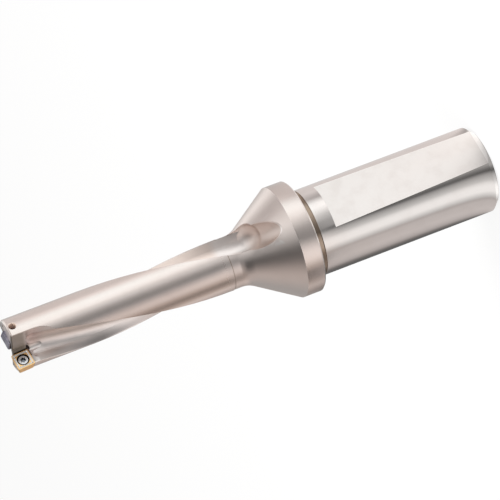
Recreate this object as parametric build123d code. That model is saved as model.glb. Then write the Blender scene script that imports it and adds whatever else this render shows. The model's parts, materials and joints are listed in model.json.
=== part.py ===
from build123d import *
import os
from dataclasses import dataclass
from math import acos, atan2, cos, hypot, radians, sin, tan

# Indexable drill standing on its shank end. +Z runs along the tool axis to the tip, the origin is the
# centre of the shank's end face, and -Y is the side of the clamping flat and of the outer rake face.
# Millimetres and degrees.

# Shank
shank_diameter = 25.0
shank_length = 56.0
shank_chamfer = 1.6
flat_length = 49.2
flat_depth = 2.3
flat_slope = 1.0
groove_width = 2.2
groove_depth = 0.35

# Flange, cone and neck
rim_diameter = 32.4
rim_width = 5.5
rim_edge_break = 0.4
cone_half_angle = 33.0
neck_diameter = 14.8
neck_length = 4.35
neck_fillet = 6.5

# Fluted body
drill_diameter = 16.0
body_diameter = 15.0
body_length = 64.3
body_step = 0.15
tip_chamfer = 0.4

# Flutes: a round root between two straight walls, wound right-handed round the axis
flute_lead_length = 206.0
web_thickness = 4.6
flute_root_radius = 3.7
flute_half_span = 36.5
flute_turn_from_rake = 45.0
flute_overrun = 2.35
flute_end_lift = 0.05
flute_tip_gap = 6.0
runout_slope = 64.0
runout_swing = 37.0

# Gullets in front of the inserts, milled with a tapered round-cornered cutter
gullet_length = 6.5
gullet_wall_gap = 0.65
cutter_radius = 8.0
cutter_corner = 1.5
cutter_taper = 5.0

# Inserts
insert_side = 5.0
insert_thickness = 2.38
insert_corner = 0.4
insert_relief = 8.0
edge_land = 0.3
breaker_width = 0.4
breaker_depth = 0.14
breaker_slope_width = 0.2
mouth_radius = 1.7
hole_radius = 1.2
countersink_half_angle = 30.0

# Places of the inserts: reach past the front face, tilt in the rake plane, the inner one's reach past the
# axis and its skew from the line opposite the outer one
outer_lead_length = 0.88
outer_tilt = 3.0
inner_lead_length = 1.05
inner_tilt = -4.0
inner_past_centre = 0.9
inner_skew = -4.0

# Insert seats
rake_proud = 0.12
seat_contact_height = 1.2
seat_gap = 0.3
seat_gap_reach = 2.2
seat_open_side = 0.6
seat_corner_radius = 0.55

# Insert screws
screw_head_radius = 1.4
screw_head_rim = 0.3
screw_head_break = 0.08
screw_thread_radius = 1.05
screw_length = 3.6
screw_end_chamfer = 0.25
thread_play = 0.03
recess_core_radius = 0.62
recess_lobe_radius = 0.2
recess_lobe_circle = 0.67
recess_lobes = 6
recess_depth = 0.8

# Coolant supply: threaded inlet, central bore and one helical duct in each land
inlet_radius = 4.283
inlet_length = 14.0
inlet_chamfer = 0.8
bore_radius = 4.1
bore_below_flute = 12.8
drill_point_angle = 118.0
duct_radius = 0.75
duct_steps = 12
duct_circle = 5.7
duct_below_flute = 5.8
outer_duct_angle = 46.0
inner_duct_angle = 43.0

# Length by which a cutting tool passes through the surface that it opens
overcut = 1.0

# Places along the axis that follow from the sizes above
rim_top = shank_length + rim_width
cone_top = rim_top + (rim_diameter - neck_diameter) / 2 / tan(radians(cone_half_angle))
body_bottom = cone_top + neck_length
tip_height = body_bottom + body_length
flute_bottom = cone_top - flute_overrun
flute_top = tip_height - flute_tip_gap
flute_root_circle = web_thickness / 2 + flute_root_radius
bore_top = flute_bottom - bore_below_flute
duct_bottom = flute_bottom - duct_below_flute
body_radius = body_diameter / 2

# Direction of the outer rake's normal, as an angle about the axis
rake_normal_angle = -90.0


def half_extent(tilt):
    """Half width of an insert that is turned by tilt in its rake plane."""
    turn = radians(abs(tilt))
    return (insert_side / 2 - insert_corner) * (cos(turn) + sin(turn)) + insert_corner


@dataclass(frozen=True)
class Station:
    """One cutting station: an insert, its seat, its gullet and its coolant duct."""

    name: str
    turn: float
    skew: float
    reach: float
    lead: float
    tilt: float
    duct_angle: float

    def rake_angle(self):
        """Direction of the rake's normal, as an angle about the tool axis."""
        return rake_normal_angle + self.turn + self.skew

    def frame(self):
        """Plane at the front face: x outwards, y down the tool, z along the rake normal."""
        angle = radians(self.rake_angle())
        outwards = (sin(angle), -cos(angle), 0)
        return Plane(origin=(0, 0, tip_height), x_dir=outwards, z_dir=(cos(angle), sin(angle), 0))

    def inner_edge(self):
        """Distance from the axis to the insert's inner edge, negative past the centre."""
        return self.reach - 2 * half_extent(self.tilt)

    def insert_frame(self):
        """Place of the insert's rake centre in the station's plane."""
        extent = half_extent(self.tilt)
        return Location((self.reach - extent, extent - self.lead, 0), (0, 0, self.tilt))

    def place(self, piece):
        """A piece drawn about the rake centre, moved to this station."""
        return self.frame() * (self.insert_frame() * piece)


outer_reach = drill_diameter / 2
outer = Station("outer", 0, 0, outer_reach, outer_lead_length, outer_tilt, outer_duct_angle)
inner_reach = 2 * half_extent(inner_tilt) - inner_past_centre
inner = Station("inner", 180, inner_skew, inner_reach, inner_lead_length, inner_tilt, inner_duct_angle)
stations = (outer, inner)


def polar(radius, angle, height):
    """Point at a radius and an angle about the tool axis."""
    return Vector(radius * cos(radians(angle)), radius * sin(radians(angle)), height)


def flute_angle(station, height):
    """Direction of a flute's middle at a height: at the tip it halves the gullet's corner."""
    bisector = rake_normal_angle + station.turn - flute_turn_from_rake
    return bisector + (height - tip_height) * 360 / flute_lead_length


def spin(piece, angle):
    """A piece turned about the tool axis."""
    return Rot(0, 0, angle) * piece


# Body

def turned_blank():
    """The body as it leaves the lathe, with the fillet between cone and neck."""
    shank = shank_diameter / 2
    rim = rim_diameter / 2
    neck = neck_diameter / 2
    groove_bottom = shank_length - groove_width
    outline = Polyline(
        (0, 0),
        (shank - shank_chamfer, 0),
        (shank, shank_chamfer),
        (shank, groove_bottom),
        (shank - groove_depth, groove_bottom),
        (shank - groove_depth, shank_length),
        (rim - rim_edge_break, shank_length),
        (rim, shank_length + rim_edge_break),
        (rim, rim_top),
        (neck, cone_top),
        (neck, body_bottom),
        (body_radius, body_bottom + body_step),
        (body_radius, tip_height - tip_chamfer),
        (body_radius - tip_chamfer, tip_height),
        (0, tip_height),
        close=True,
    )
    section = make_face(outline)
    neck_corner = section.vertices().sort_by_distance((neck, cone_top))[0]
    section = fillet(neck_corner, neck_fillet)
    return revolve(Plane.XZ * section, Axis.Z)


def clamping_flat():
    """Cut of the inclined flat, deepest towards the flange."""
    outside = -shank_diameter / 2 - overcut
    deep = flat_depth - shank_diameter / 2
    shallow = deep - (flat_length + overcut) * tan(radians(flat_slope))
    outline = Polyline(
        (deep, flat_length),
        (shallow, -overcut),
        (outside, -overcut),
        (outside, flat_length),
        close=True,
    )
    return extrude(Plane.YZ * make_face(outline), shank_diameter / 2, both=True)


def flute_walls():
    """Points up one side of a flute that opens along +X: end of the round root, wall, and mouth, which
    narrows to the width of the way out where it passes through the cone."""
    wall_x = body_radius * cos(radians(flute_half_span))
    wall_y = body_radius * sin(radians(flute_half_span))
    cone_x = neck_diameter / 2 + flute_overrun * tan(radians(cone_half_angle))
    reach = hypot(wall_x - flute_root_circle, wall_y)
    tangent = atan2(wall_y, wall_x - flute_root_circle) + acos(flute_root_radius / reach)
    root_x = flute_root_circle + flute_root_radius * cos(tangent)
    root_y = flute_root_radius * sin(tangent)
    mouth_x = rim_diameter / 2
    mouth_y = wall_y - (wall_y - flute_root_radius) * (mouth_x - wall_x) / (cone_x - wall_x)
    return [(root_x, root_y), (wall_x, wall_y), (mouth_x, mouth_y)]


def flute_section():
    """Cross-section of a flute that opens along +X: round root, straight walls, parallel mouth."""
    near = flute_walls()
    far = [(x, -y) for x, y in near]
    root = ThreePointArc(far[0], (web_thickness / 2, 0), near[0])
    return make_face([root, Polyline(*near, *reversed(far))])


def flute_end(station, height, radius, lift):
    """Ball that the cutter leaves at an end of a flute, lifted a little off the flute's bottom."""
    centre = polar(web_thickness / 2 + lift + radius, flute_angle(station, height), height)
    return Pos(centre) * Sphere(radius)


def flute(station):
    """Cut of one flute: twisted section, round tip end, and the cutter's way out through the cone."""
    length = flute_top - flute_bottom
    start_angle = flute_angle(station, flute_bottom)
    section = Pos(0, 0, flute_bottom) * spin(flute_section(), start_angle)
    twisted = Solid.extrude_linear_with_rotation(
        section.faces()[0], (0, 0, flute_bottom), (0, 0, length), length * 360 / flute_lead_length
    )
    knee = polar(flute_root_circle, start_angle, flute_bottom)
    out_angle = start_angle - runout_swing
    out = polar(sin(radians(runout_slope)), out_angle, -cos(radians(runout_slope)))
    runout = extrude(Plane(knee, z_dir=out) * Circle(flute_root_radius), rim_diameter)
    tip_end = flute_end(station, flute_top, flute_root_radius, 0)
    half_mouth = body_radius * sin(radians(flute_half_span))
    shank_end = flute_end(station, flute_bottom, half_mouth, flute_end_lift)
    return [twisted, tip_end, shank_end, runout]


def gullet(station):
    """Cut of the straight gullet in front of an insert, with the round end that the cutter leaves."""
    wall = station.inner_edge() - gullet_wall_gap
    axis = wall + cutter_radius
    top = body_radius + overcut
    flare = (top + rake_proud) * tan(radians(cutter_taper))
    outline = Polyline(
        (axis, -rake_proud),
        (wall, -rake_proud),
        (wall - flare, top),
        (axis, top),
        close=True,
    )
    section = make_face(outline)
    foot = section.vertices().sort_by_distance((wall, -rake_proud))[0]
    section = Plane.XZ * fillet(foot, cutter_corner)
    front = -max(outer_lead_length, inner_lead_length) - overcut
    straight = Pos(0, front, 0) * extrude(section, gullet_length - front, dir=(0, 1, 0))
    round_end = Pos(0, gullet_length, 0) * revolve(section, Axis((axis, 0, 0), (0, 0, 1)))
    return station.frame() * (straight + round_end)


# Inserts and their seats, drawn about the centre of the rake face, which is the plane z = 0

def tapered_block(width, length, depth, corner):
    """Block under the plane z = 0 whose four sides lean in by the insert's relief angle."""
    lean = 2 * depth * tan(radians(insert_relief))
    top = RectangleRounded(width, length, corner)
    bottom = Pos(0, 0, -depth) * RectangleRounded(width - lean, length - lean, corner)
    return loft([top, bottom], ruled=True)


def seat_cut():
    """Cut of an insert seat: floor, two locating walls, relieved upper edges and corner."""
    width = insert_side + seat_open_side
    length = 2 * insert_side
    inner_side = -insert_side / 2
    back_side = insert_side / 2
    block = tapered_block(width, length, insert_thickness, insert_corner / 2)
    block = Pos(inner_side + width / 2, back_side - length / 2, 0) * block
    gap_bottom = seat_contact_height - insert_thickness
    gap_height = insert_side - gap_bottom
    low_corner = (Align.MIN, Align.MAX, Align.MIN)
    side_gap = Box(insert_side / 2, length, gap_height, align=low_corner)
    back_gap = Box(seat_gap + seat_gap_reach, insert_side, gap_height, align=low_corner)
    gap_corner = Pos(inner_side - seat_gap, back_side + seat_gap, gap_bottom)
    relief_height = insert_thickness + insert_side / 2
    relief = Cylinder(seat_corner_radius, relief_height, align=(Align.CENTER, Align.CENTER, Align.MIN))
    relief = Pos(inner_side - seat_gap / 2, back_side + seat_gap / 2, -insert_thickness) * relief
    return block + gap_corner * side_gap + gap_corner * back_gap + relief


def screw_hole():
    """Tapped hole from the seat through the body."""
    return Pos(0, 0, -body_diameter / 2) * Cylinder(screw_thread_radius + thread_play, body_diameter)


def chip_breaker():
    """Groove round the rake face, between the edge land and the flat island."""
    outer_side = insert_side - 2 * edge_land
    island_side = outer_side - 2 * breaker_width
    floor = Pos(0, 0, -breaker_depth)
    ring_top = RectangleRounded(outer_side, outer_side, insert_corner)
    ring_floor_side = outer_side - 2 * breaker_slope_width
    ring_floor = floor * RectangleRounded(ring_floor_side, ring_floor_side, insert_corner)
    island = RectangleRounded(island_side, island_side, insert_corner)
    return loft([ring_top, ring_floor], ruled=True) - extrude(island, -insert_thickness)


def insert():
    """Square carbide insert with relieved sides, chip breaker and countersunk hole."""
    blank = tapered_block(insert_side, insert_side, insert_thickness, insert_corner)
    cone_depth = (mouth_radius - hole_radius) / tan(radians(countersink_half_angle))
    outline = Polyline(
        (0, 0),
        (mouth_radius, 0),
        (hole_radius, -cone_depth),
        (hole_radius, -insert_thickness),
        (0, -insert_thickness),
        close=True,
    )
    hole = revolve(Plane.XZ * make_face(outline), Axis.Z)
    return blank - chip_breaker() - hole


def recess():
    """Six-lobe key recess, drawn from the top of the head downwards."""
    lobes = PolarLocations(recess_lobe_circle, recess_lobes) * Circle(recess_lobe_radius)
    return extrude(Circle(recess_core_radius) + lobes, -recess_depth)


def insert_screw():
    """Countersunk screw whose head seats in the insert's cone."""
    slope = tan(radians(countersink_half_angle))
    seat_top = -(mouth_radius - screw_head_radius) / slope
    top = seat_top + screw_head_rim
    cone_bottom = seat_top - (screw_head_radius - screw_thread_radius) / slope
    end = top - screw_length
    outline = Polyline(
        (0, top),
        (screw_head_radius - screw_head_break, top),
        (screw_head_radius, top - screw_head_break),
        (screw_head_radius, seat_top),
        (screw_thread_radius, cone_bottom),
        (screw_thread_radius, end + screw_end_chamfer),
        (screw_thread_radius - screw_end_chamfer, end),
        (0, end),
        close=True,
    )
    return revolve(Plane.XZ * make_face(outline), Axis.Z) - Pos(0, 0, top) * recess()


# Coolant supply

def supply_bore():
    """Inlet with its chamfer, and the bore up to the drill point under the flutes."""
    point = bore_radius / tan(radians(drill_point_angle / 2))
    outline = Polyline(
        (0, -overcut),
        (inlet_radius + inlet_chamfer + overcut, -overcut),
        (inlet_radius, inlet_chamfer),
        (inlet_radius, inlet_length),
        (bore_radius, inlet_length),
        (bore_radius, bore_top - point),
        (0, bore_top),
        close=True,
    )
    return revolve(Plane.XZ * make_face(outline), Axis.Z)


def duct(station):
    """Duct up a land, drawn in short straight lengths, and the inclined hole that joins it to the bore."""
    length = tip_height + overcut - duct_bottom
    twist = length * 360 / flute_lead_length
    end_angle = station.rake_angle() + station.duct_angle + overcut * 360 / flute_lead_length
    start_angle = end_angle - twist
    source = polar(bore_radius / 2, start_angle, bore_top - bore_radius)
    start = polar(duct_circle, start_angle, duct_bottom)
    way = start - source
    across = polar(1, start_angle + 90, 0)
    link = extrude(Plane(source, x_dir=across, z_dir=way) * Circle(duct_radius), way.length)
    sections = [Plane(start, x_dir=across, z_dir=way) * Circle(duct_radius)]
    for step in range(1, duct_steps + 1):
        part_way = step / duct_steps
        centre = polar(duct_circle, start_angle + part_way * twist, duct_bottom + part_way * length)
        sections.append(Plane(centre, x_dir=across) * Circle(duct_radius))
    return [link, loft(sections, ruled=True)]


def drill_body():
    """The one-piece steel body."""
    body = turned_blank() - clamping_flat() - supply_bore()
    for station in stations:
        for cut in flute(station) + duct(station):
            body -= cut
        body -= gullet(station)
        body -= station.place(seat_cut())
        body -= station.place(screw_hole())
    return body


nodes = {"drill_body": drill_body()}
for station in stations:
    nodes[f"{station.name}_insert"] = station.place(insert())
    nodes[f"{station.name}_insert_screw"] = station.place(insert_screw())

os.makedirs("parts", exist_ok=True)
for name, node in nodes.items():
    export_step(node, f"parts/{name}.step")
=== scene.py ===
"""Finishes and studio for the indexable drill.

The drill stands on its shank end, with +Z up to the tip and the clamping flat towards -Y, in metres. Its
five solids are dressed here, and no shape is added to them.
"""

from __future__ import annotations

import json
import logging
import math
from dataclasses import dataclass
from enum import Enum
from functools import cached_property
from typing import Union

import bpy
from mathutils import Matrix, Vector

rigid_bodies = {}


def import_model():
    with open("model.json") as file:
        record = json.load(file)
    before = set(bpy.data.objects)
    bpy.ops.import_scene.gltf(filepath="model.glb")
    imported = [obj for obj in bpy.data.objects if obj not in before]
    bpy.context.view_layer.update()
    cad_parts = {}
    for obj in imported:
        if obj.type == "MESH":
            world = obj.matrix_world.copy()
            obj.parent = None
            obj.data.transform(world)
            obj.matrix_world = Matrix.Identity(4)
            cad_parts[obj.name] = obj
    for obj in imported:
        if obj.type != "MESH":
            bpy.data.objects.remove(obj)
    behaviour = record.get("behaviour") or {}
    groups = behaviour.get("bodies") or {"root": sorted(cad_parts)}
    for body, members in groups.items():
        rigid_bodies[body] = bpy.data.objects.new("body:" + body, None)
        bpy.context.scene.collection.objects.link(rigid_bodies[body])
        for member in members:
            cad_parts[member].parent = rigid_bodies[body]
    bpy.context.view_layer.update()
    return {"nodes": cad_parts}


LOG = logging.getLogger("indexable_drill")
MM = 0.001
TURN = 2 * math.pi
CIRCLE = 360.0
TIP = 143.7 * MM
CAMERA_BEARING = 239.58
NOISE_MIDDLE = 0.5
BROKEN_EDGE = 0.06 * MM
EDGE_SAMPLES = 4

Colour = tuple[float, float, float]
Triple = tuple[float, float, float]
Span = tuple[float, float]
Value = Union[float, int, "Socket"]
Paint = Union[Colour, "Socket"]
Nodes = dict[str, bpy.types.Object]

WHITE: Colour = (1.0, 1.0, 1.0)
UP = Vector((0.0, 0.0, 1.0))


def mm(low: float, high: float) -> Span:
    """A span given in millimetres, as metres."""
    return low * MM, high * MM


class Node(Enum):
    """Shader nodes that the finishes use."""

    MATH = "ShaderNodeMath"
    VECTOR_MATH = "ShaderNodeVectorMath"
    MIX = "ShaderNodeMix"
    RAMP = "ShaderNodeValToRGB"
    NOISE = "ShaderNodeTexNoise"
    BUMP = "ShaderNodeBump"
    BEVEL = "ShaderNodeBevel"
    COORDINATES = "ShaderNodeTexCoord"
    SEPARATE = "ShaderNodeSeparateXYZ"
    MAP_RANGE = "ShaderNodeMapRange"
    PRINCIPLED = "ShaderNodeBsdfPrincipled"
    DIFFUSE = "ShaderNodeBsdfDiffuse"
    EMISSION = "ShaderNodeEmission"
    MIX_SHADER = "ShaderNodeMixShader"
    LIGHT_PATH = "ShaderNodeLightPath"
    BACKGROUND = "ShaderNodeBackground"
    MATERIAL_OUTPUT = "ShaderNodeOutputMaterial"
    WORLD_OUTPUT = "ShaderNodeOutputWorld"


class Maths(Enum):
    """Operations of the Math and Vector Math nodes."""

    ADD = "ADD"
    SUBTRACT = "SUBTRACT"
    MULTIPLY = "MULTIPLY"
    DIVIDE = "DIVIDE"
    SQUARE_ROOT = "SQRT"
    ABSOLUTE = "ABSOLUTE"
    SMALLER = "MINIMUM"
    LARGER = "MAXIMUM"
    SINE = "SINE"
    BEARING = "ARCTAN2"
    REMAINDER = "FLOORED_MODULO"
    ZIGZAG = "PINGPONG"
    DOT = "DOT_PRODUCT"


class Graph:
    """The node tree of one material or of the world."""

    def __init__(self, tree: bpy.types.NodeTree, output: Node) -> None:
        """Clears a tree and gives it its output node.

        Args:
            tree: the node tree to fill.
            output: type of the output node.
        """
        tree.nodes.clear()
        self.tree = tree
        self.output = tree.nodes.new(output.value)

    def add(self, kind: Node, settings: dict[str, object] | None = None, **inputs: object) -> bpy.types.Node:
        """Adds a node.

        Args:
            kind: type of the node.
            settings: properties that are set before the sockets, and a ramp's stops as "stops".
            inputs: value or link of each socket, by its name with _ for a space, or i and its number.

        Returns:
            The new node.
        """
        node = self.tree.nodes.new(kind.value)
        for name, setting in (settings or {}).items():
            if name == "stops":
                self._set_stops(node.color_ramp, setting)
            else:
                setattr(node, name, setting)
        for name, value in inputs.items():
            key: object = int(name[1:]) if name[0] == "i" and name[1:].isdigit() else name.replace("_", " ")
            self._feed(node.inputs[key], value)
        return node

    @staticmethod
    def _set_stops(ramp: bpy.types.ColorRamp, stops: list[tuple[float, Colour]]) -> None:
        """Gives a colour ramp its stops.

        Args:
            ramp: the ramp.
            stops: place from 0 to 1 and colour of each stop, in order.
        """
        while len(ramp.elements) < len(stops):
            ramp.elements.new(1.0)
        for element, (place, colour) in zip(ramp.elements, stops):
            element.position = place
            element.color = (*colour, 1.0)

    def _feed(self, socket: bpy.types.NodeSocket, value: object) -> None:
        """Links a socket or sets its value.

        Args:
            socket: the input socket.
            value: a Socket to link, a colour or a number.
        """
        if isinstance(value, Socket):
            self.tree.links.new(value.end, socket)
        elif isinstance(value, tuple) and socket.type == "RGBA":
            socket.default_value = (*value, 1.0)
        else:
            socket.default_value = value

    def out(self, node: bpy.types.Node, name: str | int = 0) -> Socket:
        """An output of a node, as a Socket."""
        return Socket(self, node.outputs[name])

    def finish(self, surface: bpy.types.Node) -> None:
        """Links the surface's shader to the output node."""
        self.tree.links.new(surface.outputs[0], self.output.inputs["Surface"])


@dataclass(frozen=True)
class Socket:
    """An output socket on which Python's operators add Math nodes."""

    graph: Graph
    end: bpy.types.NodeSocket

    def math(self, operation: Maths, *others: Value, swapped: bool = False) -> Socket:
        """Adds a Math node.

        Args:
            operation: the node's operation.
            others: the other operands.
            swapped: whether the other operand comes first.

        Returns:
            The node's result.
        """
        operands: list[Value] = [self, *others]
        if swapped:
            operands.reverse()
        named = {f"i{place}": operand for place, operand in enumerate(operands)}
        return self.graph.out(self.graph.add(Node.MATH, {"operation": operation.value}, **named))

    def __add__(self, other: Value) -> Socket:
        """Sum."""
        return self.math(Maths.ADD, other)

    __radd__ = __add__

    def __sub__(self, other: Value) -> Socket:
        """Difference."""
        return self.math(Maths.SUBTRACT, other)

    def __rsub__(self, other: Value) -> Socket:
        """Difference from a number."""
        return self.math(Maths.SUBTRACT, other, swapped=True)

    def __mul__(self, other: Value) -> Socket:
        """Product."""
        return self.math(Maths.MULTIPLY, other)

    __rmul__ = __mul__

    def __truediv__(self, other: Value) -> Socket:
        """Quotient."""
        return self.math(Maths.DIVIDE, other)

    def __rtruediv__(self, other: Value) -> Socket:
        """Quotient of a number by this value."""
        return self.math(Maths.DIVIDE, other, swapped=True)

    def __abs__(self) -> Socket:
        """Size without the sign."""
        return self.math(Maths.ABSOLUTE)

    def rise(self, over: Span) -> Socket:
        """Mask that goes smoothly from 0 to 1 as this value passes a span.

        Args:
            over: where the mask is 0, and where it is 1.

        Returns:
            The mask.
        """
        start, end = over
        settings = {"interpolation_type": "SMOOTHSTEP"}
        mask = self.graph.add(Node.MAP_RANGE, settings, Value=self, From_Min=start, From_Max=end)
        return self.graph.out(mask)

    def fall(self, over: Span) -> Socket:
        """Mask that goes smoothly from 1 to 0 as this value passes a span."""
        return 1 - self.rise(over)

    def mix(self, first: Paint, second: Paint) -> Socket:
        """Mixes two colours, with this value as the second one's share.

        Args:
            first: the colour at 0.
            second: the colour at 1.

        Returns:
            The mixed colour.
        """
        # Sockets 6 and 7 of the Mix node are its two colours, and its output 2 is their mix.
        node = self.graph.add(Node.MIX, {"data_type": "RGBA"}, Factor=self, i6=first, i7=second)
        return self.graph.out(node, 2)


@dataclass(frozen=True)
class Place:
    """A point of a surface or a direction in the room, with its radius and bearing about the tool axis."""

    point: Socket

    @classmethod
    def of(cls, graph: Graph, output: str = "Object") -> Place:
        """The place that a graph is asked about, in the coordinates that an output gives."""
        return cls(graph.out(graph.add(Node.COORDINATES), output))

    @cached_property
    def parts(self) -> bpy.types.Node:
        """The node that takes the place apart."""
        return self.point.graph.add(Node.SEPARATE, None, Vector=self.point)

    @cached_property
    def x(self) -> Socket:
        """Coordinate towards the inner insert."""
        return self.point.graph.out(self.parts, "X")

    @cached_property
    def y(self) -> Socket:
        """Coordinate away from the clamping flat."""
        return self.point.graph.out(self.parts, "Y")

    @cached_property
    def z(self) -> Socket:
        """Height above the shank's end."""
        return self.point.graph.out(self.parts, "Z")

    @cached_property
    def radius(self) -> Socket:
        """Distance from the tool axis."""
        return (self.x * self.x + self.y * self.y).math(Maths.SQUARE_ROOT)

    @cached_property
    def bearing(self) -> Socket:
        """Angle about the tool axis, in radians from +X."""
        return self.y.math(Maths.BEARING, self.x)


@dataclass(frozen=True)
class Pattern:
    """Noise over a surface: features in a metre, finer layers and the factor along each axis."""

    scale: float
    layers: float = 2.0
    stretch: Triple = (1.0, 1.0, 1.0)

    def over(self, point: Socket) -> Socket:
        """Lays the pattern over the object.

        Args:
            point: the place on the surface.

        Returns:
            The noise, from 0 to 1.
        """
        graph = point.graph
        settings = {"operation": Maths.MULTIPLY.value}
        spread = graph.out(graph.add(Node.VECTOR_MATH, settings, i0=point, i1=self.stretch))
        field = graph.add(Node.NOISE, None, Vector=spread, Scale=self.scale, Detail=self.layers)
        return graph.out(field, "Fac")


@dataclass(frozen=True)
class Coat:
    """A colour, and the share with which it covers what lies below it."""

    colour: Colour
    share: float = 1.0

    def over(self, mask: Socket, below: Paint) -> Socket:
        """Lays the coat over a colour where the mask is 1."""
        return (mask * self.share).mix(below, self.colour)


def new_material(name: str) -> tuple[bpy.types.Material, Graph]:
    """Makes an empty material.

    Args:
        name: name of the material.

    Returns:
        The material and its graph.
    """
    material = bpy.data.materials.new(name)
    material.use_nodes = True
    return material, Graph(material.node_tree, Node.MATERIAL_OUTPUT)


def metal(colour: Socket, roughness: Socket, relief: Socket, depth: float, metallic: Value = 1.0) -> None:
    """Ends a metal's graph with its shader, whose edges are slightly broken.

    Args:
        colour: colour of the metal.
        roughness: roughness of the metal.
        relief: fine relief, in shares of its depth.
        depth: depth of the relief in metres.
        metallic: 1, or less on the gullets' walls, in the screws' holes and on the key sockets' floors.
    """
    graph = colour.graph
    edge = graph.out(graph.add(Node.BEVEL, {"samples": EDGE_SAMPLES}, Radius=BROKEN_EDGE))
    bump = graph.out(graph.add(Node.BUMP, None, Strength=1.0, Distance=depth, Height=relief, Normal=edge))
    sockets = {"Base_Color": colour, "Metallic": metallic, "Roughness": roughness, "Normal": bump}
    graph.finish(graph.add(Node.PRINCIPLED, None, **sockets))


@dataclass(frozen=True)
class BodyZones:
    """Sizes of the steel body in metres, and the spans over which its zones start and end."""

    shank_radius: float = 12.5 * MM
    shank_top: float = 56.0 * MM
    rim_radius: float = 16.2 * MM
    rim_top: float = 61.5 * MM
    cone_slope: float = math.tan(math.radians(33.0))
    body_radius: float = 7.5 * MM
    body_bottom: float = 79.4 * MM
    flute_lead: float = 206.0 * MM
    flute_bearing_at_tip: float = -135.0

    # The shank, its flat, groove and bore, and the turned forms above it.
    end_edge: Span = mm(0.15, 0.30)
    end_chamfer: Span = mm(1.5, 1.6)
    flat_plane: Span = mm(-10.0, -9.9)
    flat_rim: Span = mm(0.02, 0.08)
    flat_end: Span = mm(49.2, 49.3)
    groove_start: Span = mm(53.75, 53.80)
    groove_depth: Span = mm(0.1, 0.3)
    groove_end: Span = mm(56.0, 56.05)
    bore_wall: Span = mm(4.4, 4.6)
    shank_end: Span = mm(55.9, 56.0)
    rim_end: Span = mm(61.45, 61.5)
    cone_end: Span = mm(79.4, 82.4)
    line_width: Span = mm(0.05, 0.16)
    line_radius: Span = mm(7.2, 7.3)

    # The flutes, which run out through the cone. The sides are values of BodyMasks.flute_side.
    flute_depth: Span = mm(0.12, 0.35)
    runout_end: Span = mm(70.0, 73.0)
    brink_outer: Span = mm(0.03, 0.08)
    brink_inner: Span = mm(0.30, 0.50)
    brink_top: Span = mm(72.0, 73.0)
    near_side: Span = (0.05, 0.9)
    far_side: Span = (-0.95, -0.25)
    tip_start: Span = mm(100.0, 114.0)
    tip_face: Span = mm(143.35, 143.55)

    # The shaded part of a flute's far wall, by its radius, and the lit end of it.
    shade_at_tip: float = 2.9 * MM
    shade_below: float = 5.2 * MM
    shade_slope: float = 0.115
    shade_edge: Span = mm(-0.5, 1.6)
    shade_side: Span = (-0.4, 0.0)
    lit_start: Span = mm(131.7, 138.7)
    lit_share: float = 0.45

    @property
    def flange(self) -> Span:
        """Height of the flange's foot and of the top of its rim."""
        return self.shank_top, self.rim_top


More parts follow.
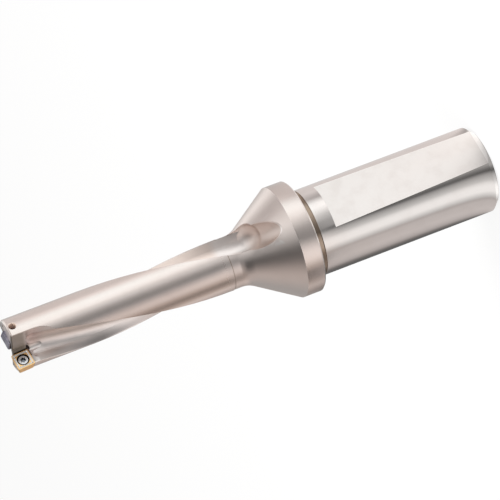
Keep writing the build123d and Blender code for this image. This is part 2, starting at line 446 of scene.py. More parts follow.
@dataclass(frozen=True)
class BodyMasks:
    """The body's zones as masks, each 1 in its zone and 0 elsewhere."""

    zones: BodyZones
    place: Place

    @cached_property
    def cut(self) -> Socket:
        """Depth below the round of the shank."""
        return self.zones.shank_radius - self.place.radius

    @cached_property
    def depth(self) -> Socket:
        """Depth below the turned form above the flange, before its flutes are cut.

        Returns:
            The depth in metres.
        """
        zones = self.zones
        cone = zones.rim_radius + zones.rim_top * zones.cone_slope - self.place.z * zones.cone_slope
        turned = cone.math(Maths.SMALLER, zones.rim_radius).math(Maths.LARGER, zones.body_radius)
        return turned - self.place.radius

    @cached_property
    def on_shank(self) -> Socket:
        """The ground shank."""
        return self.place.z.fall(self.zones.shank_end)

    @cached_property
    def on_flat(self) -> Socket:
        """The clamping flat."""
        below = self.place.z.fall(self.zones.flat_end)
        return below * self.place.y.fall(self.zones.flat_plane) * self.cut.rise(self.zones.flat_rim)

    @cached_property
    def on_chamfer(self) -> Socket:
        """The chamfered edge at the shank's end, which is painted brighter as a painted highlight."""
        return self.place.z.fall(self.zones.end_chamfer)

    @cached_property
    def on_end_edge(self) -> Socket:
        """The edge of the shank's end."""
        return self.place.z.fall(self.zones.end_edge)

    @cached_property
    def in_groove(self) -> Socket:
        """The groove behind the flange."""
        between = self.place.z.rise(self.zones.groove_start) * self.place.z.fall(self.zones.groove_end)
        return between * self.cut.rise(self.zones.groove_depth)

    @cached_property
    def in_bore(self) -> Socket:
        """The walls of the coolant inlet and its bore."""
        return self.place.radius.fall(self.zones.bore_wall) * self.place.z.fall(self.zones.flange)

    @cached_property
    def on_rim(self) -> Socket:
        """The flange's rim."""
        return self.place.z.fall(self.zones.rim_end) * (1 - self.on_shank)

    @cached_property
    def on_cone(self) -> Socket:
        """The flange and the cone, up to the fluted body."""
        return self.place.z.fall(self.zones.cone_end) * (1 - self.on_shank)

    @cached_property
    def on_line(self) -> Socket:
        """The ring where the ground body starts, which is painted dark as painted shade at its small step.
        """
        off = abs(self.place.z - self.zones.body_bottom)
        return off.fall(self.zones.line_width) * self.place.radius.rise(self.zones.line_radius)

    @cached_property
    def in_flute(self) -> Socket:
        """The walls of the flutes and gullets."""
        return self.depth.rise(self.zones.flute_depth) * self.place.z.rise(self.zones.flange)

    @cached_property
    def in_runout(self) -> Socket:
        """The ends of the flutes in the cone."""
        return self.in_flute * self.place.z.fall(self.zones.runout_end) * (1 - self.on_shank)

    @cached_property
    def on_brink(self) -> Socket:
        """Painted highlight: a thin bright band along the edge where the flutes run out through the cone."""
        thin = self.depth.rise(self.zones.brink_outer) * self.depth.fall(self.zones.brink_inner)
        return thin * self.place.z.fall(self.zones.brink_top) * self.on_cone

    @cached_property
    def flute_side(self) -> Socket:
        """Sine of twice the angle from the middle of the nearer flute, whose sign tells its two walls.

        Returns:
            The sine.
        """
        zones = self.zones
        wound = (self.place.z - TIP) * (TURN / zones.flute_lead) + math.radians(zones.flute_bearing_at_tip)
        return ((self.place.bearing - wound) * 2).math(Maths.SINE)

    @cached_property
    def towards_tip(self) -> Socket:
        """The part of the body that is near the tip."""
        return self.place.z.rise(self.zones.tip_start)

    @cached_property
    def near_wall(self) -> Socket:
        """The flute's wall on one side, above the cone."""
        return self.flute_side.rise(self.zones.near_side) * self.in_flute * (1 - self.on_cone)

    @cached_property
    def far_wall(self) -> Socket:
        """The flute's wall on the other side."""
        return self.flute_side.fall(self.zones.far_side) * self.in_flute

    @cached_property
    def shaded_wall(self) -> Socket:
        """The outer part of a flute's far wall near the tip, which widens towards the tip.

        Returns:
            The mask.
        """
        zones = self.zones
        start = ((TIP - self.place.z) * zones.shade_slope + zones.shade_at_tip).math(
            Maths.SMALLER, zones.shade_below
        )
        outwards = (self.place.radius - start).rise(zones.shade_edge)
        lit = self.place.z.rise(zones.lit_start) * zones.lit_share
        wall = outwards * self.flute_side.fall(zones.shade_side) * (1 - lit)
        return wall * self.in_flute * self.towards_tip

    @cached_property
    def below_face(self) -> Socket:
        """All but the face at the tip."""
        return self.place.z.fall(self.zones.tip_face)


@dataclass(frozen=True)
class InsertZones:
    """Spans over which the zones round an insert start and end, in metres from its rake's centre."""

    seat_end_inset: float = 0.12 * MM
    seat_gap: Span = mm(2.72, 2.82)
    seat_side: Span = mm(-1.6, -1.1)
    seat_brim: Span = mm(-0.20, 0.05)
    seat_floor: Span = mm(-3.2, -2.9)
    hole_end: Span = mm(-4.6, -4.2)
    hole_wall: Span = mm(1.10, 1.16)
    wall_side: Span = mm(-2.7, -2.1)
    wall_end: Span = mm(4.0, 9.0)
    wall_foot: Span = mm(0.2, 1.6)
    lower_side: Span = mm(2.2, 3.0)
    stain_side: Span = mm(-2.6, -2.2)
    stain_top: Span = mm(-0.5, 3.4)
    stain_start: Span = mm(-4.5, -1.5)
    stain_end: Span = mm(1.2, 3.6)


@dataclass(frozen=True)
class InsertMasks:
    """Distances across, along and above an insert's rake, and the zones round it as masks."""

    across: Socket
    along: Socket
    height: Socket
    zones: InsertZones = InsertZones()

    @cached_property
    def from_screw(self) -> Socket:
        """Distance from the screw's axis."""
        return (self.across * self.across + self.along * self.along).math(Maths.SQUARE_ROOT)

    @cached_property
    def in_seat(self) -> Socket:
        """The seat's walls and floor, in the narrow gap round the insert.

        Returns:
            The mask.
        """
        reach = abs(self.across).math(Maths.LARGER, abs(self.along) + self.zones.seat_end_inset)
        side = reach.fall(self.zones.seat_gap) * self.across.fall(self.zones.seat_side)
        return side * self.height.fall(self.zones.seat_brim) * self.height.rise(self.zones.seat_floor)

    @cached_property
    def in_hole(self) -> Socket:
        """The open end of the screw's hole, and the screw's end inside it."""
        return self.height.fall(self.zones.hole_end) * self.from_screw.fall(self.zones.hole_wall)

    @cached_property
    def on_wall(self) -> Socket:
        """The gullet's wall above the rake, beside the insert."""
        beside = self.across.fall(self.zones.wall_side) * self.along.fall(self.zones.wall_end)
        return beside * self.height.rise(self.zones.wall_foot)

    @cached_property
    def above_lower_side(self) -> Socket:
        """From the tip to the insert's lower side."""
        return self.along.fall(self.zones.lower_side)

    @cached_property
    def stained(self) -> Socket:
        """Chip stain on the gullet's wall, strongest beside the insert's inner back corner.

        Returns:
            The mask.
        """
        wall = self.across.fall(self.zones.stain_side) * self.height.fall(self.zones.stain_top)
        return wall * self.along.rise(self.zones.stain_start) * self.along.fall(self.zones.stain_end)


@dataclass(frozen=True)
class InsertPlace:
    """Centre of an insert's rake face and the directions of its sides."""

    centre: Vector
    across: Vector
    down: Vector
    normal: Vector

    def masks(self, point: Socket) -> InsertMasks:
        """Measures a place from the rake.

        Args:
            point: the place on the surface.

        Returns:
            The distances and masks at the place.
        """
        graph = point.graph
        settings = {"operation": Maths.SUBTRACT.value}
        offset = graph.out(graph.add(Node.VECTOR_MATH, settings, i0=point, i1=tuple(self.centre)))
        dot = {"operation": Maths.DOT.value}
        distances = [
            graph.out(graph.add(Node.VECTOR_MATH, dot, i0=offset, i1=tuple(direction)), "Value")
            for direction in (self.across, self.down, self.normal)
        ]
        return InsertMasks(*distances)


@dataclass(frozen=True)
class BodySteel:
    """Satin nickel-plated steel: turned flange and lands, ground shank, milled flutes."""

    zones: BodyZones
    nickel: Colour = (0.81, 0.74, 0.705)
    ground: Coat = Coat((0.80, 0.77, 0.75))
    milled: Coat = Coat((0.97, 0.92, 0.895))
    near_wall: Coat = Coat((0.82, 0.66, 0.57), 0.6)
    near_wall_loss: float = 2 / 3
    far_wall: Coat = Coat((1.0, 0.90, 0.86), 0.7)
    shaded_wall: Coat = Coat((0.50, 0.47, 0.46))
    # Painted shade: the flutes' ends in the cone are painted darker and browner.
    scallop: Coat = Coat((0.74, 0.655, 0.61))
    # Painted highlight along the flutes' edges where they run out through the cone.
    brink: Coat = Coat((1.0, 0.975, 0.955), 0.9)
    # Painted highlight: the shank end's chamfered edge is painted brighter.
    chamfer: Coat = Coat((1.0, 0.975, 0.955), 0.8)
    # The very edge of the shank's end is painted darker.
    worn_edge: Coat = Coat((0.36, 0.32, 0.30), 0.6)
    # Painted shade: the groove behind the flange is painted dark brown.
    groove: Coat = Coat((0.33, 0.26, 0.20))
    # Painted shade: a thin dark ring at the step where the ground body starts.
    turned_line: Coat = Coat((0.33, 0.26, 0.20), 0.75)
    # Painted shade: the walls of the coolant inlet and its bore are painted dark.
    bore: Coat = Coat((0.36, 0.33, 0.31))
    # Painted shade: the gullets' walls beside the inserts are painted darker and pinker.
    gullet: Coat = Coat((0.84, 0.69, 0.66), 0.8)
    stain: Coat = Coat((0.085, 0.07, 0.04))
    # Painted shade: the seat's gap round each insert is painted near black.
    crevice: Coat = Coat((0.012, 0.010, 0.008))
    # The screws' holes are browner and less metallic.
    grime: Coat = Coat((0.74, 0.60, 0.51))

    # Films and stains, and how much less metallic the steel is under them.
    film: Coat = Coat((0.82, 0.66, 0.57), 0.12)
    film_span: Span = (0.35, 0.8)
    dull: Coat = Coat((0.60, 0.54, 0.51), 0.10)
    dull_span: Span = (0.42, 0.75)
    dull_gain_on_flat: float = 1.2
    stain_least: float = 0.40
    stain_gain: float = 0.6
    gullet_loss: float = 0.6
    grime_loss: float = 0.85

    cloud: Pattern = Pattern(60.0, 3.0, (1.0, 1.0, 0.6))
    blotch: Pattern = Pattern(260.0, 3.0)
    grain: Pattern = Pattern(2600.0)
    lathe_lines: Pattern = Pattern(5200.0, 1.0, (0.02, 0.02, 1.0))

    satin_roughness: float = 0.25
    turned_roughness: float = 0.32
    rim_roughness: float = 0.21
    ground_roughness: float = 0.12
    milled_roughness: float = 0.34
    flat_roughness: float = 0.32
    cloud_roughness: float = 0.08
    grain_roughness: float = 0.05

    relief_depth: float = 0.004 * MM
    lathe_share: float = 0.5
    grain_share: float = 0.25
    thread_share: float = 60.0
    inlet_pitch: float = 0.907 * MM

    def make(self, inserts: tuple[InsertPlace, ...]) -> bpy.types.Material:
        """Builds the material.

        Args:
            inserts: places of the inserts, round which the steel is dark.

        Returns:
            The material.
        """
        material, graph = new_material("body_steel")
        place = Place.of(graph)
        masks = BodyMasks(self.zones, place)
        cloud = self.cloud.over(place.point)
        grain = self.grain.over(place.point)
        colour = self._edges(masks, self._walls(masks))
        colour = self._film(masks, cloud, colour)
        colour, metallic = self._soil(masks, cloud, inserts, colour)
        roughness = self._roughness(masks, cloud, grain)
        metal(colour, roughness, self._relief(masks, grain), self.relief_depth, metallic)
        return material

    def _walls(self, masks: BodyMasks) -> Socket:
        """Colours the plating, the ground shank and the flutes, with painted shade on the flutes' far walls
        near the tip and in their ends in the cone.

        Args:
            masks: the body's zones.

        Returns:
            The colour.
        """
        colour = self.ground.over(masks.on_shank, self.nickel)
        colour = self.milled.over(masks.in_flute, colour)
        colour = self.near_wall.over(masks.near_wall * (1 - masks.towards_tip * self.near_wall_loss), colour)
        colour = self.far_wall.over(masks.far_wall * (1 - masks.towards_tip), colour)
        colour = self.shaded_wall.over(masks.shaded_wall, colour)
        return self.scallop.over(masks.in_runout, colour)

    def _edges(self, masks: BodyMasks, colour: Socket) -> Socket:
        """Paints highlights on the flutes' edges in the cone and on the chamfered end, paints shade in the
        groove, the step and the bore, and darkens the end's edge.

        Args:
            masks: the body's zones.
            colour: the colour so far.

        Returns:
            The colour.
        """
        colour = self.brink.over(masks.on_brink, colour)
        colour = self.chamfer.over(masks.on_chamfer, colour)
        colour = self.worn_edge.over(masks.on_end_edge, colour)
        colour = self.groove.over(masks.in_groove, colour)
        colour = self.turned_line.over(masks.on_line, colour)
        return self.bore.over(masks.in_bore, colour)

    def _film(self, masks: BodyMasks, cloud: Socket, colour: Socket) -> Socket:
        """Lays a thin warm film and dull blotches over the steel.

        Args:
            masks: the body's zones.
            cloud: the wide pattern.
            colour: the colour so far.

        Returns:
            The colour.
        """
        colour = self.film.over(cloud.rise(self.film_span), colour)
        blotch = self.blotch.over(masks.place.point).rise(self.dull_span)
        return self.dull.over(blotch * (1 + masks.on_flat * self.dull_gain_on_flat), colour)

    def _soil(
        self, masks: BodyMasks, cloud: Socket, inserts: tuple[InsertPlace, ...], colour: Socket
    ) -> tuple[Socket, Value]:
        """Paints shade on the gullets' walls and in the seats' gaps, stains the walls beside the inserts,
        and tints the screws' holes.

        Args:
            masks: the body's zones.
            cloud: the wide pattern.
            inserts: places of the inserts.
            colour: the colour so far.

        Returns:
            The colour, and how metallic the steel is.
        """
        metallic: Value = 1.0
        patchy = (self.stain_least + cloud * self.stain_gain).math(Maths.SMALLER, 1.0)
        for insert in inserts:
            near = insert.masks(masks.place.point)
            # Painted shade on the gullet's wall beside the insert, which is also less metallic near the tip.
            wall = near.on_wall * masks.in_flute * masks.below_face
            colour = self.gullet.over(wall, colour)
            colour = self.stain.over(near.stained * patchy * masks.in_flute, colour)
            colour = self.crevice.over(near.in_seat, colour)
            colour = self.grime.over(near.in_hole, colour)
            metallic = metallic - wall * near.above_lower_side * self.gullet_loss
            metallic = metallic - near.in_hole * self.grime_loss
        return colour, metallic

    def _roughness(self, masks: BodyMasks, cloud: Socket, grain: Socket) -> Socket:
        """Works out the roughness.

        Args:
            masks: the body's zones.
            cloud: the wide pattern.
            grain: the fine pattern.

        Returns:
            The roughness.
        """
        roughness = self.satin_roughness + masks.on_shank * (self.ground_roughness - self.satin_roughness)
        roughness = roughness + masks.on_cone * (self.turned_roughness - self.satin_roughness)
        roughness = roughness + masks.on_rim * (self.rim_roughness - self.turned_roughness)
        roughness = roughness + masks.in_flute * (self.milled_roughness - self.satin_roughness)
        roughness = roughness + masks.on_flat * (self.flat_roughness - self.ground_roughness)
        roughness = roughness + (cloud - NOISE_MIDDLE) * self.cloud_roughness
        return roughness + (grain - NOISE_MIDDLE) * self.grain_roughness

    def _relief(self, masks: BodyMasks, grain: Socket) -> Socket:
        """Works out the fine relief: turning marks, grain and the inlet's thread.

        Args:
            masks: the body's zones.
            grain: the fine pattern.

        Returns:
            The relief, in shares of its depth.
        """
        place = masks.place
        smooth = masks.in_flute.math(Maths.LARGER, masks.on_flat)
        turned = self.lathe_lines.over(place.point) * (1 - smooth)
        # The value counts pitches, so the zigzag climbs for one half of each and falls for the other.
        thread = (place.z / self.inlet_pitch - place.bearing / TURN).math(Maths.ZIGZAG, 0.5)
        relief = turned * self.lathe_share + grain * self.grain_share
        return relief + thread * masks.in_bore * self.thread_share


@dataclass(frozen=True)
class GoldCarbide:
    """Coated carbide: gold flanks and rake, with a paler ground land round the chip breaker."""

    gold: Colour = (1.0, 0.66, 0.31)
    dark: Coat = Coat((0.30, 0.17, 0.06), 0.25)
    dark_span: Span = (0.3, 0.8)
    land: Coat = Coat((0.92, 0.97, 1.0), 0.9)
    land_inside: Span = mm(1.74, 1.80)
    land_outside: Span = mm(2.18, 2.24)
    land_height: Span = mm(-0.25, -0.16)
    shade: Coat = Coat((0.015, 0.012, 0.008))
    hole_mouth: Span = mm(1.70, 1.82)
    speckle: Pattern = Pattern(2400.0, 3.0)
    roughness: float = 0.30
    speckle_roughness: float = 0.2
    relief_depth: float = 0.004 * MM

    def make(self, insert: InsertPlace) -> bpy.types.Material:
        """Builds the material.

        Args:
            insert: place of the insert that wears it.

        Returns:
            The material.
        """
        material, graph = new_material("gold_carbide")
        point = Place.of(graph).point
        near = insert.masks(point)
        reach = abs(near.across).math(Maths.LARGER, abs(near.along))
        ring = reach.rise(self.land_inside) * reach.fall(self.land_outside)
        speckle = self.speckle.over(point)
        colour = self.dark.over(speckle.rise(self.dark_span), self.gold)
        colour = self.land.over(ring * near.height.rise(self.land_height), colour)
        colour = self.shade.over(near.from_screw.fall(self.hole_mouth), colour)
        roughness = self.roughness + (speckle - NOISE_MIDDLE) * self.speckle_roughness
        metal(colour, roughness, speckle, self.relief_depth)
        return material


@dataclass(frozen=True)
class GreyCarbide:
    """Dark violet-grey coated carbide."""

    coat: Colour = (0.21, 0.21, 0.26)
    light: Coat = Coat((0.48, 0.47, 0.56))
    light_span: Span = (0.35, 0.7)
    cloud: Pattern = Pattern(420.0, 3.0)
    speckle: Pattern = Pattern(3000.0)
    roughness: float = 0.32
    speckle_roughness: float = 0.15
    relief_depth: float = 0.003 * MM

    def make(self) -> bpy.types.Material:
        """Builds the material.

        Returns:
            The material.
        """
        material, graph = new_material("grey_carbide")
        point = Place.of(graph).point
        speckle = self.speckle.over(point)
        colour = self.light.over(self.cloud.over(point).rise(self.light_span), self.coat)
        roughness = self.roughness + (speckle - NOISE_MIDDLE) * self.speckle_roughness
        metal(colour, roughness, speckle, self.relief_depth)
        return material


@dataclass(frozen=True)
class ScrewSteel:
    """Bright insert screw, with painted shade in its key socket: near black on the walls and lighter on the
    floor.
    """

    steel: Colour = (0.78, 0.78, 0.80)
    dull: Coat = Coat((0.45, 0.45, 0.47), 0.4)
    dull_span: Span = (0.4, 0.9)
    # Painted shade: the key socket's walls are painted near black.
    recess: Coat = Coat((0.05, 0.05, 0.06))
    recess_top: Span = mm(-0.34, -0.26)
    recess_bottom: Span = mm(-4.0, -3.9)
    recess_wall: Span = mm(0.93, 1.0)
    # Painted shade, lighter than on the walls: the key socket's floor is painted grey and made less
    # metallic.
    floor: Coat = Coat((0.44, 0.50, 0.55))
    floor_top: Span = mm(-0.95, -0.90)
    floor_bottom: Span = mm(-2.0, -1.9)
    floor_edge: Span = mm(0.45, 0.65)
    floor_loss: float = 0.7
    # The screw's end inside its hole is browner and less metallic.
    grime: Coat = Coat((0.86, 0.72, 0.63))
    grime_loss: float = 0.85
    speckle: Pattern = Pattern(2600.0)
    roughness: float = 0.24
    speckle_roughness: float = 0.15
    relief_depth: float = 0.003 * MM

    def make(self, inserts: tuple[InsertPlace, ...]) -> bpy.types.Material:
        """Builds the material.

        Args:
            inserts: places of the inserts that the screws hold.

        Returns:
            The material.
        """
        material, graph = new_material("screw_steel")
        point = Place.of(graph).point
        speckle = self.speckle.over(point)
        colour = self.dull.over(speckle.rise(self.dull_span), self.steel)
        metallic: Value = 1.0
        for insert in inserts:
            near = insert.masks(point)
            recess = near.height.fall(self.recess_top) * near.height.rise(self.recess_bottom)
            colour = self.recess.over(recess * near.from_screw.fall(self.recess_wall), colour)
            floor = near.height.fall(self.floor_top) * near.height.rise(self.floor_bottom)
            floor = floor * near.from_screw.fall(self.floor_edge)
            colour = self.floor.over(floor, colour)
            colour = self.grime.over(near.in_hole, colour)
            metallic = metallic - floor * self.floor_loss - near.in_hole * self.grime_loss
        roughness = self.roughness + (speckle - NOISE_MIDDLE) * self.speckle_roughness
        metal(colour, roughness, speckle, self.relief_depth, metallic)
        return material


def wear(piece: bpy.types.Object, material: bpy.types.Material) -> None:
    """Gives a piece one finish.

    Args:
        piece: the object.
        material: its finish.
    """
    piece.data.materials.clear()
    piece.data.materials.append(material)
    LOG.info("%s wears %s", piece.name, material.name)


@dataclass(frozen=True)
class DrillBody:
    """The one-piece steel body."""

    node: str = "drill_body"
    zones: BodyZones = BodyZones()

    def dress(self, nodes: Nodes, inserts: tuple[InsertPlace, ...]) -> None:
        """Gives the body its finish."""
        wear(nodes[self.node], BodySteel(self.zones).make(inserts))


@dataclass(frozen=True)
class CuttingStation:
    """An insert and its screw, with the sizes that place the rake face.

    The bearing that the rake faces and the tilt are in degrees. The reach from the tool axis, the lead past
    the tip, the side and its corner's radius are in metres.
    """

    name: str
    bearing: float
    reach: float
    lead: float
    tilt: float
    side: float = 5.0 * MM
    corner: float = 0.4 * MM

    def place(self) -> InsertPlace:
        """Works out the place of the rake face, as the insert is set in its seat.

        Returns:
            The place.
        """
        turn = math.radians(self.bearing)
        outwards = Vector((math.sin(turn), -math.cos(turn), 0.0))
        normal = Vector((math.cos(turn), math.sin(turn), 0.0))
        lean = math.radians(abs(self.tilt))
        half = (self.side / 2 - self.corner) * (math.cos(lean) + math.sin(lean)) + self.corner
        down = normal.cross(outwards)
        centre = Vector((0.0, 0.0, TIP)) + outwards * (self.reach - half) + down * (half - self.lead)
        spin = Matrix.Rotation(math.radians(self.tilt), 3, normal)
        return InsertPlace(centre, spin @ outwards, spin @ down, normal)

    def dress(self, nodes: Nodes, coat: bpy.types.Material, steel: bpy.types.Material) -> None:
        """Gives the insert and its screw their finishes."""
        wear(nodes[f"{self.name}_insert"], coat)
        wear(nodes[f"{self.name}_insert_screw"], steel)


class Tint(Enum):
    """Colours of the studio's cards."""

    COOL = (0.96, 1.0, 1.0)
    PALE = (1.0, 0.985, 0.975)
    ROSE = (1.0, 0.93, 0.91)
    WARM = (1.0, 0.89, 0.84)
    BROWN = (1.0, 0.83, 0.73)

    def at(self, level: float) -> Colour:
        """The tint at a brightness."""
        red, green, blue = self.value
        return level * red, level * green, level * blue


@dataclass(frozen=True)
class Card:
    """A soft card of the studio: degrees from the camera's bearing, brightness and tint.

    The metal mirrors the cards. A positive offset is on the side of the drill that is uppermost in the
    photograph.
    """

    offset: float
    level: float
    tint: Tint = Tint.PALE


# The shank mirrors the floor that is nearest to the drill.
SHANK_CARDS = (
    # behind the drill, on the lower side
    Card(-180, 0.18), Card(-142, 0.13), Card(-130, 0.22, Tint.ROSE), Card(-118, 0.47, Tint.ROSE),
    Card(-108, 0.59, Tint.ROSE),
    # the lower side in the photograph
    Card(-96, 0.66, Tint.ROSE), Card(-72, 0.61, Tint.ROSE), Card(-65, 0.51, Tint.ROSE), Card(-59, 0.69),
    Card(-48, 1.05),
    # towards the camera
    Card(-37, 1.05), Card(-31, 0.92), Card(-26, 0.68), Card(-15, 0.41), Card(-9, 0.12), Card(-5, 0.18),
    Card(0, 0.40), Card(15, 0.45), Card(31, 0.64),
    # the upper side in the photograph
    Card(48, 1.12), Card(56, 1.28), Card(66, 1.22), Card(85, 0.46, Tint.ROSE),
    # behind the drill, on the upper side
    Card(108, 0.82, Tint.ROSE), Card(142, 0.78, Tint.ROSE), Card(170, 0.70),
)
# The flange's rim mirrors the next ring of the floor.
RIM_CARDS = (
    # behind the drill, on the lower side
    Card(-180, 0.40), Card(-139, 0.34, Tint.WARM), Card(-113, 0.60, Tint.WARM),
    Card(-100, 0.26, Tint.BROWN),
    # the lower side in the photograph
    Card(-88, 0.05, Tint.BROWN), Card(-75, 0.04, Tint.BROWN), Card(-63, 0.55, Tint.BROWN),
    Card(-49, 1.05, Tint.WARM),
    # towards the camera
    Card(-36, 1.10, Tint.ROSE), Card(-24, 1.10, Tint.ROSE), Card(-12, 0.61), Card(0, 0.23),
    Card(13, 0.35), Card(26, 0.84),
    # the upper side in the photograph
    Card(40, 1.18), Card(54, 1.25, Tint.COOL), Card(69, 1.12, Tint.COOL), Card(85, 0.80, Tint.ROSE),
    # behind the drill, on the upper side
    Card(104, 0.60, Tint.ROSE), Card(130, 0.58, Tint.ROSE), Card(160, 0.58),
)
# The fluted body mirrors the floor beyond.
FAR_CARDS = (
    # behind the drill, on the lower side
    Card(-180, 0.40), Card(-139, 0.50, Tint.WARM), Card(-113, 0.80, Tint.WARM),
    # the lower side in the photograph
    Card(-94, 0.46, Tint.BROWN), Card(-77, 0.25, Tint.BROWN), Card(-63, 0.52, Tint.BROWN),
    Card(-49, 0.80, Tint.WARM),
    # towards the camera
    Card(-36, 0.80, Tint.WARM), Card(-24, 0.56, Tint.ROSE), Card(-12, 0.30), Card(0, 0.24),
    Card(13, 0.45), Card(26, 0.76),
    # the upper side in the photograph
    Card(40, 1.16), Card(54, 1.35, Tint.COOL), Card(69, 1.28, Tint.COOL), Card(85, 1.02, Tint.ROSE),
    # behind the drill, on the upper side
    Card(104, 0.74, Tint.ROSE), Card(130, 0.74, Tint.ROSE), Card(160, 0.60),
)
# Faces that look upwards mirror the room.
SKY_CARDS = (
    # behind the drill, on the lower side
    Card(-180, 0.40), Card(-130, 0.42), Card(-98, 0.58, Tint.WARM),
    # the lower side in the photograph
    Card(-84, 0.52, Tint.WARM), Card(-70, 0.36, Tint.WARM), Card(-57, 0.18, Tint.ROSE), Card(-43, 0.06),
    # towards the camera
    Card(-30, 0.05), Card(-14, 0.17), Card(0, 0.48), Card(14, 0.62), Card(29, 0.92),
    # the upper side in the photograph
    Card(43, 1.05), Card(60, 0.95), Card(80, 0.62, Tint.ROSE),
    # behind the drill, on the upper side
    Card(104, 0.48, Tint.ROSE), Card(135, 1.20), Card(160, 0.60),
)


@dataclass(frozen=True)
class Lamp:
    """A soft square lamp that faces the drill's middle: bearing from +X in degrees, sizes in metres."""

    name: str
    bearing: float
    height: float
    distance: float
    width: float
    watts: float
    aim: Triple = (0.0, 0.0, 0.07)

    def hang(self) -> None:
        """Makes the lamp, which the metal doesn't mirror."""
        light = bpy.data.lights.new(self.name, "AREA")
        light.shape = "SQUARE"
        light.size = self.width
        light.energy = self.watts
        lamp = bpy.data.objects.new(self.name, light)
        bpy.context.scene.collection.objects.link(lamp)
        turn = math.radians(self.bearing)
        lamp.location = (self.distance * math.cos(turn), self.distance * math.sin(turn), self.height)
        lamp.visible_glossy = False
        facing = Vector(self.aim) - lamp.location
        lamp.rotation_euler = facing.to_track_quat("-Z", "Y").to_euler()
        LOG.info("lamp %s", self.name)


@dataclass(frozen=True)
class Studio:
    """Pale floor, soft lamps and a pale room with rings of soft cards, in metres."""

    lamps: tuple[Lamp, ...] = (
        Lamp("key_lamp", bearing=300.0, height=0.9, distance=0.5, width=0.6, watts=6.0),
        Lamp("fill_lamp", bearing=190.0, height=0.8, distance=0.7, width=0.8, watts=4.0),
    )
    floor_radius: float = 3.0
    floor_sides: int = 96
    floor_height: float = -0.02 * MM
    floor_colour: Colour = (0.86, 0.86, 0.86)
    floor_glow: float = 0.80
    room_strength: float = 0.75
    rim_cards_start: Span = (0.208, 0.218)
    far_cards_start: Span = (0.262, 0.300)

    @staticmethod
    def ring(place: Place, cards: tuple[Card, ...]) -> Socket:
        """Colour of a ring of cards round the drill, by bearing.

        Args:
            place: a place on the floor, or a direction in the room.
            cards: the cards.

        Returns:
            The colour.
        """
        stops = sorted(
            ((CAMERA_BEARING + card.offset) % CIRCLE / CIRCLE, card.tint.at(card.level)) for card in cards
        )
        # Both ends of the ramp get the colour between the last card and the first, so the ring closes.
        first_place, first = stops[0]
        last_place, last = stops[-1]
        share = (1.0 - last_place) / (1.0 - last_place + first_place)
        seam = tuple(a + (b - a) * share for a, b in zip(last, first))
        closed = [(0.0, seam), *stops, (1.0, seam)]
        bearing = (place.bearing / TURN).math(Maths.REMAINDER, 1.0)
        graph = bearing.graph
        return graph.out(graph.add(Node.RAMP, {"stops": closed}, Fac=bearing), "Color")

    def make_room(self) -> None:
        """Makes the world: white to the camera, pale to matt surfaces, and a ring of cards to the metal."""
        world = bpy.data.worlds.new("room")
        bpy.context.scene.world = world
        world.use_nodes = True
        graph = Graph(world.node_tree, Node.WORLD_OUTPUT)
        ring = self.ring(Place.of(graph, "Generated"), SKY_CARDS)
        path = graph.add(Node.LIGHT_PATH)
        seen = graph.out(path, "Is Camera Ray").math(Maths.LARGER, graph.out(path, "Is Transmission Ray"))
        colour = graph.out(path, "Is Glossy Ray").mix(Tint.PALE.at(self.room_strength), ring)
        colour = seen.mix(colour, WHITE)
        graph.finish(graph.add(Node.BACKGROUND, None, Color=colour, Strength=1.0))

    def floor_material(self) -> bpy.types.Material:
        """Makes the floor's finish: matt to lamps, paler to the camera, and rings of cards to the metal.

        Returns:
            The material.
        """
        material, graph = new_material("floor")
        place = Place.of(graph)
        rings = [self.ring(place, cards) for cards in (SHANK_CARDS, RIM_CARDS, FAR_CARDS)]
        ring = place.radius.rise(self.rim_cards_start).mix(rings[0], rings[1])
        ring = place.radius.rise(self.far_cards_start).mix(ring, rings[2])
        path = graph.add(Node.LIGHT_PATH)
        matt = graph.out(graph.add(Node.DIFFUSE, None, Color=self.floor_colour))
        white = graph.out(graph.add(Node.EMISSION, None, Color=WHITE, Strength=1.0))
        cards = graph.out(graph.add(Node.EMISSION, None, Color=ring, Strength=1.0))
        glow = graph.out(path, "Is Camera Ray") * self.floor_glow
        shown = graph.out(graph.add(Node.MIX_SHADER, None, Fac=glow, i1=matt, i2=white))
        glossy = graph.out(path, "Is Glossy Ray")
        graph.finish(graph.add(Node.MIX_SHADER, None, Fac=glossy, i1=shown, i2=cards))
        return material

    def make_floor(self) -> None:
        """Makes the round floor, which keeps the drill's shadow."""
        reach = self.floor_radius
        turns = [TURN * side / self.floor_sides for side in range(self.floor_sides)]
        outline = [(reach * math.cos(turn), reach * math.sin(turn), 0.0) for turn in turns]
        mesh = bpy.data.meshes.new("floor")
        mesh.from_pydata(outline, [], [tuple(range(self.floor_sides))])
        floor = bpy.data.objects.new("floor", mesh)
        bpy.context.scene.collection.objects.link(floor)
        floor.location.z = self.floor_height
        mesh.materials.append(self.floor_material())

    def make_lamps(self) -> None:
        """Hangs the soft lamps round the drill."""
        for lamp in self.lamps:
            lamp.hang()


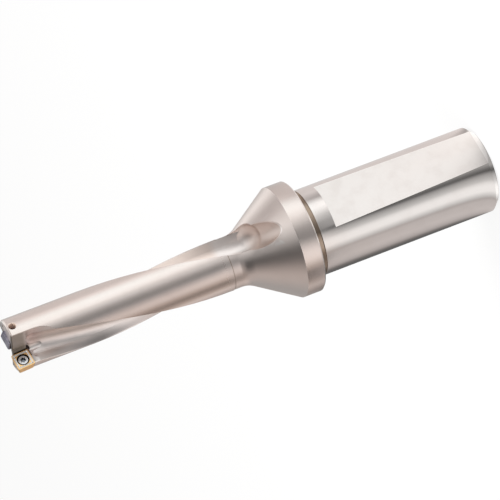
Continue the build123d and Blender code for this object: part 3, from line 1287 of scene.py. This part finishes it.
@dataclass(frozen=True)
class PhotoCamera:
    """Camera at the photograph's viewing angle: the drill lies across the picture, so it is rolled.

    Angles are in degrees, lengths in metres and the sensor's width in millimetres.
    """

    bearing: float = CAMERA_BEARING
    elevation: float = 14.24
    roll: float = -110.72
    distance: float = 982.5 * MM
    aim: Triple = (1.171 * MM, -0.687 * MM, 71.152 * MM)
    pixels_per_radian: float = 3553.0
    picture_width: float = 500.0
    sensor: float = 36.0
    clip_start: float = 0.01
    clip_end: float = 20.0

    def place(self) -> None:
        """Makes the camera."""
        turn, rise = math.radians(self.bearing), math.radians(self.elevation)
        back = Vector((math.cos(turn) * math.cos(rise), math.sin(turn) * math.cos(rise), math.sin(rise)))
        level = UP.cross(back).normalized()
        upright = back.cross(level)
        lean = math.radians(self.roll)
        right = level * math.cos(lean) + upright * math.sin(lean)
        upwards = upright * math.cos(lean) - level * math.sin(lean)
        data = bpy.data.cameras.new("photo_camera")
        data.sensor_width = self.sensor
        data.lens = self.sensor * self.pixels_per_radian / self.picture_width
        data.clip_start, data.clip_end = self.clip_start, self.clip_end
        camera = bpy.data.objects.new("photo_camera", data)
        bpy.context.scene.collection.objects.link(camera)
        turned = Matrix((right, upwards, back)).transposed().to_4x4()
        camera.matrix_world = Matrix.Translation(Vector(self.aim) + back * self.distance) @ turned
        bpy.context.scene.camera = camera


def main() -> None:
    """Builds the finishes, the studio and the camera."""
    logging.basicConfig(level=logging.INFO, format="%(message)s")
    scene = bpy.context.scene
    for leftover in list(scene.collection.all_objects):
        bpy.data.objects.remove(leftover)
    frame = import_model()
    nodes = frame["nodes"]
    outer = CuttingStation("outer", bearing=-90.0, reach=8.0 * MM, lead=0.88 * MM, tilt=3.0)
    inner = CuttingStation("inner", bearing=86.0, reach=4.6 * MM, lead=1.05 * MM, tilt=-4.0)
    inserts = (outer.place(), inner.place())
    DrillBody().dress(nodes, inserts)
    steel = ScrewSteel().make(inserts)
    outer.dress(nodes, GoldCarbide().make(outer.place()), steel)
    inner.dress(nodes, GreyCarbide().make(), steel)
    studio = Studio()
    studio.make_room()
    studio.make_floor()
    studio.make_lamps()
    PhotoCamera().place()
    scene.view_settings.view_transform = "Standard"


if __name__ == "__main__":
    main()
